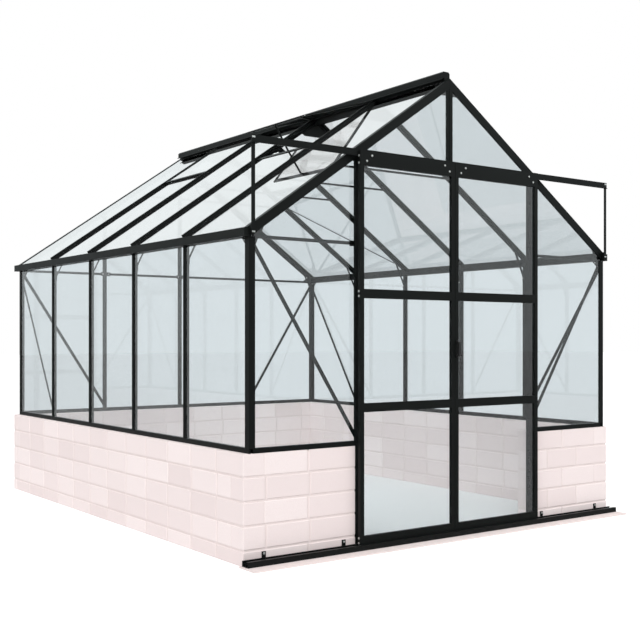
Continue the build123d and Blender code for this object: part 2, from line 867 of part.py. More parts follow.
with BuildPart() as vent_stays:
    for side, bay, swing in vents:
        centre = sum(vent_span(bay)) / 2
        near, far = centre - stay_bracket / 2, centre + stay_bracket / 2
        slim = (centre - stay_thickness / 2, centre + stay_thickness / 2)
        plate_runs = (pivot_run - stay_width / 2, sill_stop - stay_width / 2)
        extrude(**across(vent_box(side, 0, plate_runs, (-plate_back, -flange_in)), near, far))
        pivot = vent_point(side, 0, pivot_run, pivot_rise)
        lug_runs = (pivot_run - stay_width / 2, pivot_run + stay_width / 2)
        lug_rises = (pivot_rise - stay_width / 2, -plate_back)
        extrude(**across(vent_box(side, 0, lug_runs, lug_rises), *slim))
        lean = radians(stay_lean)
        arm_end = (pivot[0] - side * stay_arm * sin(lean), pivot[1] - stay_arm * cos(lean))
        extrude(**across(strip(pivot, arm_end, stay_width), *slim))
        if swing:
            link_run = vent_end - vent_rail / 2
            foot_runs = (link_run - stay_width, link_run + stay_width)
            extrude(**across(vent_box(side, swing, foot_runs, (-brace_thickness, 0)), near, far))
            link_end = vent_point(side, swing, link_run, -brace_thickness)
            extrude(**across(strip(pivot, link_end, stay_width), *slim))
            rail = vent_box(side, swing, (vent_end - vent_rail, vent_end), body_rises)
            extrude(**across(rail, near, far), mode=Mode.SUBTRACT)
vent_stays.part.label = "vent_stays"
export_step(vent_stays.part, "parts/vent_stays.step")

# ---------------------------------------------------------------- door tracks
track_back = front - track_front + track_wall
lip_front = front - track_front - track_lip
track_half_length = frame_half_width

with BuildPart() as door_track_top:
    track_points = [
        (track_back, track_low),
        (track_back, track_high),
        (track_back - track_wall, track_high),
        (track_back - track_wall, track_low + track_wall),
        (lip_front, track_low + track_wall),
        (lip_front, track_low),
    ]
    extrude(**along(track_points, -track_half_length, track_half_length))
door_track_top.part.label = "door_track_top"
export_step(door_track_top.part, "parts/door_track_top.step")

with BuildPart() as track_brackets:
    for place in (-header_half + 2 * support_width, 0, header_half - 2 * support_width):
        block = rectangle(track_back, track_low + track_wall, front, header_top - 2 * groove_depth)
        extrude(**along(block, place - support_width / 2, place + support_width / 2))
    fixing_foot = guide_top - 2 * guide_wall
    angle = [
        (front - guide_back, fixing_foot),
        (front - guide_back, fixing_foot + guide_wall),
        (front - guide_wall, fixing_foot + guide_wall),
        (front - guide_wall, guide_top + fixing_height),
        (front, guide_top + fixing_height),
        (front, fixing_foot),
    ]
    for place in (opening_centre + fixing_offset, frame_half_width - fixing_inset):
        for side in (-1, 1):
            middle_x = side * place
            extrude(**along(angle, middle_x - fixing_width / 2, middle_x + fixing_width / 2))
track_brackets.part.label = "track_brackets"
export_step(track_brackets.part, "parts/track_brackets.step")

support_foot = eave_height - 2 * support_width

with BuildPart() as track_end_supports:
    arm = [
        (gutter_start, support_foot),
        (gutter_start, eave_height),
        (track_back + track_wall, eave_height),
        (track_back + track_wall, track_high),
        (track_back, track_high),
        (track_back, support_foot),
    ]
    extrude(**along(arm, track_half_length - support_width, track_half_length))
    mirror(about=Plane.YZ)
track_end_supports.part.label = "track_end_supports"
export_step(track_end_supports.part, "parts/track_end_supports.step")

with BuildPart() as door_track_bottom:
    glide_middle = front - leaf_front + leaf_depth / 2
    rib_near = glide_middle + glide_width / 2 + glide_clearance
    rib_far = glide_middle - glide_width / 2 - glide_clearance
    floor_top = sill_height + guide_wall
    rib_top = leaf_bottom - glide_clearance
    near_wall = front - guide_back
    far_wall = front - guide_front
    slot_near = front - leaf_front + leaf_depth + glide_clearance
    slot_far = front - leaf_front - glide_clearance
    lip_under = guide_top - guide_wall
    guide_points = [
        (near_wall, sill_height),
        (near_wall, guide_top),
        (slot_near, guide_top),
        (slot_near, lip_under),
        (near_wall - guide_wall, lip_under),
        (near_wall - guide_wall, floor_top),
        (rib_near + guide_wall, floor_top),
        (rib_near + guide_wall, rib_top),
        (rib_near, rib_top),
        (rib_near, floor_top),
        (rib_far, floor_top),
        (rib_far, rib_top),
        (rib_far - guide_wall, rib_top),
        (rib_far - guide_wall, floor_top),
        (far_wall + guide_wall, floor_top),
        (far_wall + guide_wall, lip_under),
        (slot_far, lip_under),
        (slot_far, guide_top),
        (far_wall, guide_top),
        (far_wall, sill_height),
    ]
    extrude(**along(guide_points, -guide_half_length, guide_half_length))
door_track_bottom.part.label = "door_track_bottom"
export_step(door_track_bottom.part, "parts/door_track_bottom.step")

# ----------------------------------------------------------------- door leaves
face = front - leaf_front
back = face + leaf_depth
slot_low = face + (leaf_depth - glass_thickness) / 2
slot_high = slot_low + glass_thickness
stile_in = leaf_half_gap + stile_width
stile_out = leaf_outer - stile_width
shoulder = track_low - track_headroom


def stile_points(x_plain, x_slot):
    """Stile seen from above, with its glass slot on the x_slot side."""
    inward = 1 if x_slot > x_plain else -1
    slot_floor = x_slot - inward * rail_slot
    return [
        (x_plain, face),
        (x_slot, face),
        (x_slot, slot_low),
        (slot_floor, slot_low),
        (slot_floor, slot_high),
        (x_slot, slot_high),
        (x_slot, back),
        (x_plain, back),
    ]


with BuildPart() as door_right_stiles:
    extrude(**upward(stile_points(leaf_half_gap, stile_in), leaf_bottom, leaf_top))
    extrude(**upward(stile_points(leaf_outer, stile_out), leaf_bottom, leaf_top))
    notch = rectangle(face + leaf_plate, shoulder, back, leaf_top)
    extrude(**along(notch, leaf_half_gap, leaf_outer), mode=Mode.SUBTRACT)
door_right_stiles.part.label = "door_right_stiles"
export_step(door_right_stiles.part, "parts/door_right_stiles.step")

with BuildPart() as door_right_rails:
    for low, high, slots in (
        (leaf_bottom, bottom_rail_top, "top"),
        (lower_rail_bottom, lower_rail_top, "both"),
        (upper_rail_bottom, upper_rail_top, "both"),
    ):
        extrude(**along(rectangle(face, low, back, high), stile_in, stile_out))
        upper_slot = rectangle(slot_low, high - rail_slot, slot_high, high)
        extrude(**along(upper_slot, stile_in, stile_out), mode=Mode.SUBTRACT)
        if slots == "both":
            lower_slot = rectangle(slot_low, low, slot_high, low + rail_slot)
            extrude(**along(lower_slot, stile_in, stile_out), mode=Mode.SUBTRACT)
door_right_rails.part.label = "door_right_rails"
export_step(door_right_rails.part, "parts/door_right_rails.step")

with BuildPart() as door_right_hanger:
    hanger_points = [
        (face, top_rail_bottom),
        (face, leaf_top),
        (face + leaf_plate, leaf_top),
        (face + leaf_plate, shoulder),
        (back, shoulder),
        (back, top_rail_bottom),
        (slot_high, top_rail_bottom),
        (slot_high, top_rail_bottom + rail_slot),
        (slot_low, top_rail_bottom + rail_slot),
        (slot_low, top_rail_bottom),
    ]
    extrude(**along(hanger_points, stile_in, stile_out))
door_right_hanger.part.label = "door_right_hanger"
export_step(door_right_hanger.part, "parts/door_right_hanger.step")

with BuildPart() as door_right_glass:
    for low, high in (
        (bottom_rail_top, lower_rail_bottom),
        (lower_rail_top, upper_rail_bottom),
        (upper_rail_top, top_rail_bottom),
    ):
        light = rectangle(stile_in - rail_slot, slot_low, stile_out + rail_slot, slot_high)
        extrude(**upward(light, low - rail_slot, high + rail_slot))
door_right_glass.part.label = "door_right_glass"
export_step(door_right_glass.part, "parts/door_right_glass.step")

axle_height = track_low + track_wall + roller_radius + roller_gap
roller_back = front - track_front - roller_gap * 3
roller_front = roller_back - roller_width

with BuildPart() as door_right_rollers:
    for place in (stile_in + roller_inset, stile_out - roller_inset):
        with BuildSketch(Plane.XZ.offset(-roller_back)) as tread:
            with Locations((place, axle_height)):
                Circle(roller_radius)
        extrude(tread.sketch, amount=roller_width)
        with BuildSketch(Plane.XZ.offset(-roller_front)) as axle:
            with Locations((place, axle_height)):
                Circle(axle_radius)
        extrude(axle.sketch, amount=roller_front - face - leaf_plate)
door_right_rollers.part.label = "door_right_rollers"
export_step(door_right_rollers.part, "parts/door_right_rollers.step")

with BuildPart() as door_right_glides:
    for place in (stile_in, stile_out - glide_length):
        near_side = glide_middle + glide_width / 2
        far_side = glide_middle - glide_width / 2
        shoe = rectangle(far_side, floor_top + glide_lift, near_side, leaf_bottom)
        extrude(**along(shoe, place, place + glide_length))
door_right_glides.part.label = "door_right_glides"
export_step(door_right_glides.part, "parts/door_right_glides.step")

with BuildPart() as door_right_handle:
    grip = [
        (face, handle_low),
        (face - handle_stand, handle_low + handle_grip),
        (face - handle_stand, handle_high - handle_grip),
        (face, handle_high),
        (face, handle_high - handle_foot),
        (face - handle_stand + handle_grip, handle_high - handle_foot - handle_grip),
        (face - handle_stand + handle_grip, handle_low + handle_foot + handle_grip),
        (face, handle_low + handle_foot),
    ]
    handle_side = leaf_half_gap + (stile_width - handle_width) / 2
    extrude(**along(grip, handle_side, handle_side + handle_width))
door_right_handle.part.label = "door_right_handle"
export_step(door_right_handle.part, "parts/door_right_handle.step")

with BuildPart() as door_left_stiles:
    mirror(door_right_stiles.part, about=Plane.YZ)
door_left_stiles.part.label = "door_left_stiles"
export_step(door_left_stiles.part, "parts/door_left_stiles.step")

with BuildPart() as door_left_rails:
    mirror(door_right_rails.part, about=Plane.YZ)
door_left_rails.part.label = "door_left_rails"
export_step(door_left_rails.part, "parts/door_left_rails.step")

with BuildPart() as door_left_hanger:
    mirror(door_right_hanger.part, about=Plane.YZ)
door_left_hanger.part.label = "door_left_hanger"
export_step(door_left_hanger.part, "parts/door_left_hanger.step")

with BuildPart() as door_left_glass:
    mirror(door_right_glass.part, about=Plane.YZ)
door_left_glass.part.label = "door_left_glass"
export_step(door_left_glass.part, "parts/door_left_glass.step")

with BuildPart() as door_left_rollers:
    mirror(door_right_rollers.part, about=Plane.YZ)
door_left_rollers.part.label = "door_left_rollers"
export_step(door_left_rollers.part, "parts/door_left_rollers.step")

with BuildPart() as door_left_glides:
    mirror(door_right_glides.part, about=Plane.YZ)
door_left_glides.part.label = "door_left_glides"
export_step(door_left_glides.part, "parts/door_left_glides.step")
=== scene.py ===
# %% [markdown]
# # A glass greenhouse on a low brick wall
# The metal, the glass and the doors arrive as a finished CAD model in metres.
# This lesson dresses it: powder coat on the aluminium, thin tinted glass, real
# bricks in the low wall, and the small bolts that hold it all together.
# Bricks and bolts find their places from the boxes of the CAD pieces.

# %% Load the frame
import json
import math
import random

import bmesh
import bpy
from mathutils import Matrix, Vector


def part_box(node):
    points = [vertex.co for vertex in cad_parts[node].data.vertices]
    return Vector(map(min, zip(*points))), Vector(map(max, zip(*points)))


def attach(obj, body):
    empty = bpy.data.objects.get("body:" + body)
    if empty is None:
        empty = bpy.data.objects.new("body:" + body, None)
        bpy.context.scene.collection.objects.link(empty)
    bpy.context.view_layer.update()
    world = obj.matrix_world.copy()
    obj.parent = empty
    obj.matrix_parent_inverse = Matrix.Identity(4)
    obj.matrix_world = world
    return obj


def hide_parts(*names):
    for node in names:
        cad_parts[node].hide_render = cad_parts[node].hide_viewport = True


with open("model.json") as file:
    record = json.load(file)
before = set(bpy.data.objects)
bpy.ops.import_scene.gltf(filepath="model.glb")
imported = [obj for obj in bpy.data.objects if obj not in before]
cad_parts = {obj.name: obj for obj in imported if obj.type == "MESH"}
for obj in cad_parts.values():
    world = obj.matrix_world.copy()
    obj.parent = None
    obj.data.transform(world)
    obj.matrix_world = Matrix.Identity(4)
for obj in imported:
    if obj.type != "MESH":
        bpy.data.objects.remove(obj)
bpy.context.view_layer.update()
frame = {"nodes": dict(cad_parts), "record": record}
scene = bpy.context.scene
scene.view_settings.view_transform = "Standard"

# %% [markdown]
# ## Where things are
# A glazing frame has a few planes that everything lines up with. Reading them
# once from the CAD boxes keeps the later cells short, and it keeps bricks and
# bolts in place if the house is ever built to another size.

# %% Read the main planes
wall_low, wall_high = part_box("side_walls")
gable_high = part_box("gable_walls")[1]
wall_thickness = wall_high.x - gable_high.x
opening_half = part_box("door_jambs")[1].x
print("wall", round(wall_high.z, 3), "m high and", round(wall_thickness, 3), "m thick")

# %% [markdown]
# ## Colours
# Paint charts give colours as 0 to 255 values, and shaders want linear light.
# One small helper turns the first into the second.

# %% Colour helper


def paint(red, green, blue):
    """A shader colour from 0 to 255 screen values, by the sRGB curve."""
    linear = []
    for value in (red, green, blue):
        share = value / 255
        linear.append(share / 12.92 if share <= 0.04045 else ((share + 0.055) / 1.055) ** 2.4)
    return (*linear, 1)


print("charcoal is", [round(c, 3) for c in paint(42, 46, 45)[:3]])

# %% [markdown]
# ## A short way to write node trees
# Each finish is a handful of nodes around one Principled shader. The helper
# below makes the material, and the second one adds and wires a node in a line,
# so that a finish reads like a recipe.

# %% Node helpers


def new_finish(name):
    """A material with one Principled shader, and the tools to build on it."""
    finish = bpy.data.materials.new(name)
    finish.use_nodes = True
    shader = finish.node_tree.nodes["Principled BSDF"]
    return finish, finish.node_tree, shader


def add(tree, kind, values=None, links=None, **settings):
    """Adds a node, sets its sockets and joins its inputs to other sockets."""
    node = tree.nodes.new(kind)
    for key, value in settings.items():
        setattr(node, key, value)
    for key, value in (values or {}).items():
        node.inputs[key].default_value = value
    for key, source in (links or {}).items():
        tree.links.new(source, node.inputs[key])
    return node


def two_tone(tree, share, dark, light):
    """A colour that runs from dark to light as share runs from 0 to 1."""
    mix = add(tree, "ShaderNodeMix", data_type="RGBA")
    mix.inputs["A"].default_value = dark
    mix.inputs["B"].default_value = light
    tree.links.new(share, mix.inputs["Factor"])
    return mix.outputs["Result"]


def grain(tree, scale, detail=3.0):
    """Noise in the object's own metres."""
    place = add(tree, "ShaderNodeTexCoord")
    noise = add(
        tree,
        "ShaderNodeTexNoise",
        {"Scale": scale, "Detail": detail},
        {"Vector": place.outputs["Object"]},
    )
    return noise.outputs["Fac"]


def relief(tree, shader, height, strength, depth):
    """Small bumps on the shader, depth metres high."""
    bump = add(
        tree,
        "ShaderNodeBump",
        {"Strength": strength, "Distance": depth},
        {"Height": height},
    )
    tree.links.new(bump.outputs["Normal"], shader.inputs["Normal"])


def sheen_range(tree, shader, share, smooth, rough):
    """Roughness that wanders between two values."""
    spread = add(
        tree,
        "ShaderNodeMapRange",
        {"To Min": smooth, "To Max": rough},
        {"Value": share},
    )
    tree.links.new(spread.outputs["Result"], shader.inputs["Roughness"])


print("helpers ready")

# %% [markdown]
# ## Powder coat
# The bars are extruded aluminium with a satin black powder coat. Powder melts
# into a skin with a very fine orange peel, so the coat gets a faint bump, a
# slow change of tone, and a slightly wandering gloss. Bare paint in one flat
# black would look like a cut-out.

# %% Black powder coat


def powder_coat():
    """Satin black with a fine orange peel."""
    finish, tree, shader = new_finish("black_powder_coat")
    cloud = grain(tree, 3.0)
    colour = two_tone(tree, cloud, paint(8, 10, 10), paint(18, 21, 20))
    tree.links.new(colour, shader.inputs["Base Color"])
    sheen_range(tree, shader, grain(tree, 14.0), smooth=0.36, rough=0.52)
    relief(tree, shader, grain(tree, 700.0, detail=2.0), strength=0.15, depth=0.0002)
    shader.inputs["Specular IOR Level"].default_value = 0.14
    return finish


coat = powder_coat()
print("made", coat.name)

# %% [markdown]
# ## Glass
# Horticultural glass is a little green-blue, and it is thin: what shows is the
# tint, a mirror at glancing angles, and rolling waves from the float bath. The
# shader is true glass with real thickness, from the CAD panes. Light from the
# lamps is let straight through, tinted, because bent lamp light is slow to
# find and would leave the inside of the house grainy. A roof is mostly seen
# along its slope, where pale clouds are mixed into the panes' colour as a
# painted reflection and hide what is behind them, so the roof glass turns into
# a mirror a little sooner than plain glass does. Only the upper face does,
# because the lower one has no bright sky to mirror.

# %% Horticultural glass
glass_index = 1.55
paler = 1.03
mirror_start, mirror_full = 0.6, 0.86
through_glass = paint(242, 243, 242)


def sheet_glass(name, tint, wave, mirror=0.0):
    """Thin glass with waves of a depth in metres, and if asked a sky mirror with a painted
    cloud reflection in its colour.
    """
    finish, tree, shader = new_finish(name)
    cloud = grain(tree, 1.1, detail=2.0)
    pale = tuple(min(1.0, c * paler) for c in tint[:3]) + (1,)
    colour = two_tone(tree, cloud, tint, pale)
    if mirror:
        glance = add(tree, "ShaderNodeLayerWeight", {"Blend": 0.5})
        share = add(
            tree,
            "ShaderNodeMapRange",
            {"From Min": mirror_start, "From Max": mirror_full, "To Max": mirror},
            {"Value": glance.outputs["Facing"]},
        )
        surface = add(tree, "ShaderNodeNewGeometry")
        split = add(tree, "ShaderNodeSeparateXYZ", links={0: surface.outputs["Normal"]})
        upper = add(
            tree,
            "ShaderNodeMath",
            links={0: split.outputs["Z"], 1: share.outputs["Result"]},
            operation="MINIMUM",
            use_clamp=True,
        )
        # Painted reflection: pale cloud blotches are mixed into the colour where the upper
        # face turns into a mirror, because the sky itself has no clouds.
        cloud_reflection_grain = grain(tree, 1.6, detail=4.0)
        painted_cloud_reflection = two_tone(tree, cloud_reflection_grain, paint(236, 227, 226), paint(255, 246, 245))
        sky = add(tree, "ShaderNodeMix", data_type="RGBA")
        tree.links.new(colour, sky.inputs["A"])
        tree.links.new(painted_cloud_reflection, sky.inputs["B"])
        tree.links.new(upper.outputs[0], sky.inputs["Factor"])
        tree.links.new(upper.outputs[0], shader.inputs["Metallic"])
        colour = sky.outputs["Result"]
    tree.links.new(colour, shader.inputs["Base Color"])
    shader.inputs["Transmission Weight"].default_value = 1.0
    shader.inputs["Roughness"].default_value = 0.0
    shader.inputs["IOR"].default_value = glass_index
    relief(tree, shader, grain(tree, 5.0, detail=1.0), strength=0.1, depth=wave)
    path = add(tree, "ShaderNodeLightPath")
    clear = add(tree, "ShaderNodeBsdfTransparent", {"Color": through_glass})
    choose = add(tree, "ShaderNodeMixShader")
    tree.links.new(path.outputs["Is Shadow Ray"], choose.inputs["Fac"])
    tree.links.new(shader.outputs["BSDF"], choose.inputs[1])
    tree.links.new(clear.outputs["BSDF"], choose.inputs[2])
    output = tree.nodes["Material Output"]
    tree.links.new(choose.outputs["Shader"], output.inputs["Surface"])
    return finish


wall_wave, roof_wave, roof_mirror = 0.0004, 0.0006, 0.85
side_pane_glass = sheet_glass("side_pane_glass", paint(233, 238, 240), wall_wave)
roof_pane_glass = sheet_glass("roof_pane_glass", paint(221, 226, 228), roof_wave, roof_mirror)
vent_pane_glass = sheet_glass("vent_pane_glass", paint(243, 249, 249), roof_wave, roof_mirror)
print("made", side_pane_glass.name, roof_pane_glass.name, vent_pane_glass.name)

# %% [markdown]
# ## Moulded plastic
# Rollers and glides are black nylon: a touch glossier than the coat, with the
# soft bloom that moulded nylon has.

# %% Black nylon


def black_nylon():
    """Moulded black plastic, a little glossier than the coat."""
    finish, tree, shader = new_finish("black_nylon")
    colour = two_tone(tree, grain(tree, 40.0), paint(20, 20, 20), paint(34, 34, 35))
    tree.links.new(colour, shader.inputs["Base Color"])
    sheen_range(tree, shader, grain(tree, 60.0), smooth=0.3, rough=0.45)
    relief(tree, shader, grain(tree, 400.0), strength=0.1, depth=0.0002)
    return finish


nylon = black_nylon()
print("made", nylon.name)

# %% [markdown]
# ## Plated steel
# The bolt heads are bright zinc plate. They are small, so a little clouding in
# the colour and the gloss is all that they need.

# %% Zinc plated steel


def plated_steel():
    """Bright zinc with a little clouding."""
    finish, tree, shader = new_finish("zinc_plated_steel")
    cloud = grain(tree, 300.0, detail=2.0)
    colour = two_tone(tree, cloud, paint(205, 206, 202), paint(238, 239, 236))
    tree.links.new(colour, shader.inputs["Base Color"])
    shader.inputs["Metallic"].default_value = 1.0
    sheen_range(tree, shader, grain(tree, 500.0), smooth=0.25, rough=0.4)
    relief(tree, shader, grain(tree, 900.0, detail=2.0), strength=0.15, depth=0.0001)
    return finish


zinc = plated_steel()
print("made", zinc.name)

# %% [markdown]
# ## Fired brick and mortar
# The low wall is pale brick with slightly darker mortar, set back a little. Each
# brick carries its own shade in a colour attribute, so neighbours differ the way
# a mixed pack of bricks does, and fine noise gives the sandy face.

# %% Brick and mortar finishes
speck_start, speck_full, speck_most = 0.35, 0.7, 0.25


def brick_finish():
    """Pale fired clay, whose shade comes from each brick's own attribute."""
    finish, tree, shader = new_finish("pale_brick")
    shade = add(tree, "ShaderNodeAttribute", attribute_name="brick_shade")
    base = two_tone(tree, shade.outputs["Fac"], paint(227, 214, 213), paint(238, 227, 226))
    speck = add(
        tree,
        "ShaderNodeMapRange",
        {"From Min": speck_start, "From Max": speck_full, "To Max": speck_most},
        {"Value": grain(tree, 160.0, detail=4.0)},
    )
    speckled = add(tree, "ShaderNodeMix", data_type="RGBA")
    speckled.inputs["B"].default_value = paint(222, 207, 205)
    tree.links.new(base, speckled.inputs["A"])
    tree.links.new(speck.outputs["Result"], speckled.inputs["Factor"])
    tree.links.new(speckled.outputs["Result"], shader.inputs["Base Color"])
    sheen_range(tree, shader, grain(tree, 30.0), smooth=0.75, rough=0.95)
    relief(tree, shader, grain(tree, 220.0, detail=5.0), strength=0.35, depth=0.001)
    return finish


def mortar_finish():
    """Rough lime mortar, a little darker than the bricks."""
    finish, tree, shader = new_finish("lime_mortar")
    sand = grain(tree, 90.0, detail=5.0)
    colour = two_tone(tree, sand, paint(219, 206, 204), paint(230, 218, 216))
    tree.links.new(colour, shader.inputs["Base Color"])
    sheen_range(tree, shader, grain(tree, 50.0), smooth=0.85, rough=1.0)
    relief(tree, shader, grain(tree, 400.0, detail=4.0), strength=0.6, depth=0.001)
    return finish


brick = brick_finish()
mortar = mortar_finish()
print("made", brick.name, "and", mortar.name)

# %% [markdown]
# ## Dress the CAD pieces
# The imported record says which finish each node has. The roof and its vents get
# the two glasses that mirror the sky, and the vents get the clearer of them.

# %% Give every node its finish
slot_finish = {
    "black_aluminium": coat,
    "glass": side_pane_glass,
    "black_plastic": nylon,
    "masonry": mortar,
}
roof_panes = {"roof_glass": roof_pane_glass, "vent_glass": vent_pane_glass}
for part in frame["record"]["subparts"]:
    node = frame["nodes"][part["node"]]
    finish = roof_panes.get(part["node"], slot_finish[part["material_slot"]])
    node.data.materials.clear()
    node.data.materials.append(finish)

# %% [markdown]
# ## Lay the bricks
# A half-bond wall shifts every other course by half a brick, and at a corner
# the two walls take turns to run through. So each wall is a run with a start
# and an end for the even courses and another for the odd ones. The bricks are
# boxes with softened edges that stand a few millimetres proud of the mortar.
# At the doorway the mortar stops just short of the bricks' ends, because two
# faces in one plane would flicker.

# %% Brick sizes
brick_pitch = 0.25
half_bond = 0.5
course_pitch = 0.113
joint = 0.010
mortar_recess = 0.003
jamb_gap = 0.0004
brick_edge = 0.003
mortar_edge = 0.0015
shortest_brick = 0.05
shade_seed = 11
course_count = math.ceil(wall_high.z / course_pitch)
print(course_count, "courses")

# %% Brick runs


def spans_of_course(start, end, shifted):
    """Start and end of every brick in one course, with no slivers."""
    cuts = [start]
    place = start + brick_pitch * (half_bond if shifted else 1.0)
    while place < end - shortest_brick:
        cuts.append(place)
        place += brick_pitch
    cuts.append(end)
    return list(zip(cuts, cuts[1:]))


def wall_runs():
    """Each run: its axis, two faces, ends on even and odd courses, ends of its mortar."""
    outer, inner = wall_high.x, gable_high.x
    front, rear = wall_low.y, wall_high.y
    through = (front, rear)
    between = (front + wall_thickness, rear - wall_thickness)
    set_back = (front + mortar_recess, rear - mortar_recess)
    overlap = inner + 2 * mortar_recess
    runs = []
    for side in (-1, 1):
        faces = sorted((side * inner, side * outer))
        runs.append(("y", faces, through, between, set_back))
        short = sorted((side * opening_half, side * inner))
        long = sorted((side * opening_half, side * outer))
        filled = sorted((side * (opening_half + jamb_gap), side * overlap))
        runs.append(("x", (front, front + wall_thickness), short, long, filled))
    faces = (rear - wall_thickness, rear)
    runs.append(("x", faces, (-inner, inner), (-outer, outer), (-overlap, overlap)))
    return runs


print(len(wall_runs()), "runs of wall")

# %% Make the brickwork


def soft_box(mesh, low, high, edge, segments=2):
    """A box from corner to corner with rounded edges. Returns its faces."""
    made = bmesh.ops.create_cube(mesh, size=1.0)["verts"]
    for vert in made:
        vert.co = Vector(low[i] + (vert.co[i] + 0.5) * (high[i] - low[i]) for i in range(3))
    edges = list({e for v in made for e in v.link_edges})
    rounded = bmesh.ops.bevel(
        mesh,
        geom=edges,
        offset=edge,
        segments=segments,
        profile=0.5,
        affect="EDGES",
    )
    corners = {v for f in rounded["faces"] for v in f.verts}
    return {f for v in corners for f in v.link_faces}


def build_brickwork():
    """Bricks and mortar of all runs as one mesh, with a shade drawn for each brick."""
    draw = random.Random(shade_seed)
    mesh = bmesh.new()
    shade = mesh.loops.layers.float_color.new("brick_shade")
    for axis, faces, even_ends, odd_ends, _ in wall_runs():
        for course in range(course_count):
            top = wall_high.z - course * course_pitch
            bottom = max(0.0, top - course_pitch + joint)
            ends = odd_ends if course % 2 else even_ends
            for first, last in spans_of_course(*ends, shifted=course % 2 == 1):
                near = first + (joint / 2 if first > min(ends) else 0)
                far = last - (joint / 2 if last < max(ends) else 0)
                low, high = (near, faces[0], bottom), (far, faces[1], top)
                if axis == "y":
                    low, high = (faces[0], near, bottom), (faces[1], far, top)
                tone = draw.random()
                for face in soft_box(mesh, low, high, brick_edge):
                    for loop in face.loops:
                        loop[shade] = (tone, tone, tone, 1)
    bricks = len(mesh.faces)
    for axis, faces, _, _, (start, end) in wall_runs():
        near, far = faces[0] + mortar_recess, faces[1] - mortar_recess
        top = wall_high.z - mortar_recess
        low, high = (start, near, 0.0), (end, far, top)
        if axis == "y":
            low, high = (near, start, 0.0), (far, end, top)
        for face in soft_box(mesh, low, high, mortar_edge, segments=1):
            face.material_index = 1
    data = bpy.data.meshes.new("brickwork")
    mesh.to_mesh(data)
    mesh.free()
    data.materials.append(brick)
    data.materials.append(mortar)
    wall = bpy.data.objects.new("brickwork", data)
    scene.collection.objects.link(wall)
    print("brickwork has", bricks, "brick faces")
    return wall


brickwork = build_brickwork()
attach(brickwork, "house")
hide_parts("side_walls", "gable_walls")

# %% [markdown]
# ## Bolts
# Nobody models every nut of a greenhouse in CAD, but they are what the eye
# finds at the joints. Each bolt is a low hexagon head with a chamfer, on a round
# black washer. All the bolts of one body are one mesh, and each place is worked
# out from the box of the piece that the bolt holds.

# %% Bolt maker
bolt_radius = 0.0055
head_height = 0.0035
washer_radius = 0.008
washer_height = 0.0012
washer_sides, head_sides = 16, 6
washer_rim, washer_top = 0.7, 0.94
head_waist, head_top = 0.65, 0.72
outward = {
    "front": Vector((0, -1, 0)),
    "rear": Vector((0, 1, 0)),
    "left": Vector((-1, 0, 0)),
    "right": Vector((1, 0, 0)),
}


def drum(mesh, place, facing, low, high, sides, base, tip):
    """A short cone frustum between two heights over a place. Returns its faces."""
    turn = facing.to_track_quat("Z", "Y").to_matrix().to_4x4()
    middle = Matrix.Translation(place + facing * (low + high) / 2)
    made = bmesh.ops.create_cone(
        mesh,
        cap_ends=True,
        segments=sides,
        radius1=base,
        radius2=tip,
        depth=high - low,
        matrix=middle @ turn,
    )
    return {f for v in made["verts"] for f in v.link_faces}


def add_bolt(mesh, place, facing, scale=1.0):
    """One bolt head on its washer, sitting on a face at the place."""
    radius, washer = bolt_radius * scale, washer_radius * scale
    rim = washer_height * washer_rim
    lip = washer * washer_top
    drum(mesh, place, facing, 0, rim, washer_sides, washer, washer)
    drum(mesh, place, facing, rim, washer_height, washer_sides, washer, lip)
    waist = washer_height + head_height * head_waist
    head = drum(mesh, place, facing, washer_height, waist, head_sides, radius, radius)
    top = washer_height + head_height
    head |= drum(mesh, place, facing, waist, top, head_sides, radius, radius * head_top)
    for face in head:
        face.material_index = 1


def bolt_set(name, body, spots):
    """All the bolts of one body as one mesh. A spot is a place, a side and maybe a scale."""
    mesh = bmesh.new()
    for place, side, *scale in spots:
        facing = outward[side] if isinstance(side, str) else side
        add_bolt(mesh, Vector(place), facing, *scale)
    data = bpy.data.meshes.new(name)
    mesh.to_mesh(data)
    mesh.free()
    data.materials.append(nylon)
    data.materials.append(zinc)
    bolts = bpy.data.objects.new(name, data)
    scene.collection.objects.link(bolts)
    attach(bolts, body)
    print(name, "holds", len(spots), "bolts")
    return bolts


# %% Door bolts
plate_end_steps = ((0.040, 0.023), (0.073, 0.052))
screw_margin = 0.012
plate_screw_gap, rail_screw_gap = 0.036, 0.024
for leaf, sign in (("door_left", -1), ("door_right", 1)):
    stile_low, stile_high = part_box(leaf + "_stiles")
    rail_low, rail_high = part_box(leaf + "_rails")
    plate_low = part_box(leaf + "_hanger")[0]
    spots = []
    for end, inward in ((stile_low.x, 1), (stile_high.x, -1)):
        for along, up in plate_end_steps:
            spots.append(((end + inward * along, plate_low.y, plate_low.z + up), "front"))
    edge_x = stile_low.x if sign < 0 else stile_high.x
    edge_y = (stile_low.y + stile_high.y) / 2
    for level, step, gap in (
        (plate_low.z, screw_margin, plate_screw_gap),
        (rail_low.z, screw_margin, rail_screw_gap),
        (rail_high.z, -screw_margin, -rail_screw_gap),
    ):
        for height in (level + step, level + step + gap):
            spots.append(((edge_x, edge_y, height), "left" if sign < 0 else "right"))
    bolt_set(leaf + "_bolts", leaf, spots)

# %% [markdown]
# ## Separate solids
# One node can hold many separate solids, such as all the brackets of a track.
# The next cell sorts the corners of a node by the solid they belong to. That
# tells where each plate, cleat or strap lies, so that a bolt can sit on it.

# %% Solids of a node


